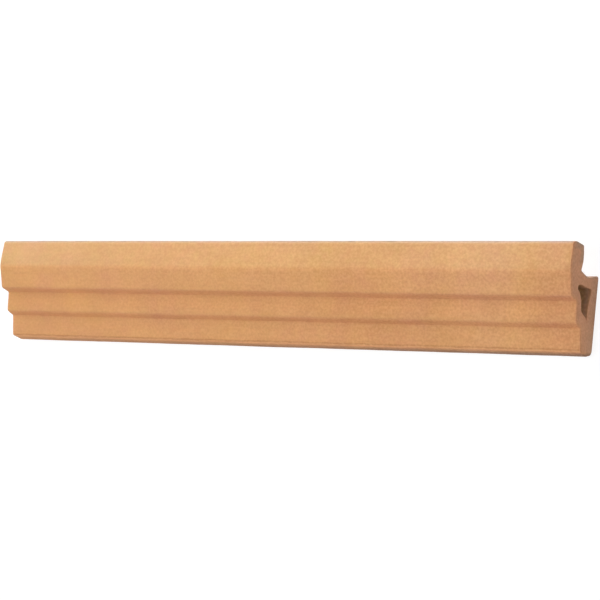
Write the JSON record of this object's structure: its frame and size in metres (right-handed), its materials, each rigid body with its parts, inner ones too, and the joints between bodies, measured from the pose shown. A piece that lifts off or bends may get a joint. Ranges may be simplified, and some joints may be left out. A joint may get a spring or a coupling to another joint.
{
  "type": "ceramic moulding tile",
  "caption": "Extruded terracotta moulding tile with stepped fascias, a leaning crown, a rear lip over a rebate and an open cell along its length, for trimming a wall.",
  "frame": {"origin": "middle of the flat back face, which the tile lies on", "axes": "+X along the tile's length, +Y up the back face from the foot to the lip, +Z out of the back through the moulded face"},
  "size_m": [0.6, 0.0882, 0.0507],
  "materials": {
    "terracotta": "unglazed matte fired clay with a fine sandy grain"
  },
  "bodies": {
    "root": {"moulding_tile": "terracotta"}
  },
  "joints": []
}
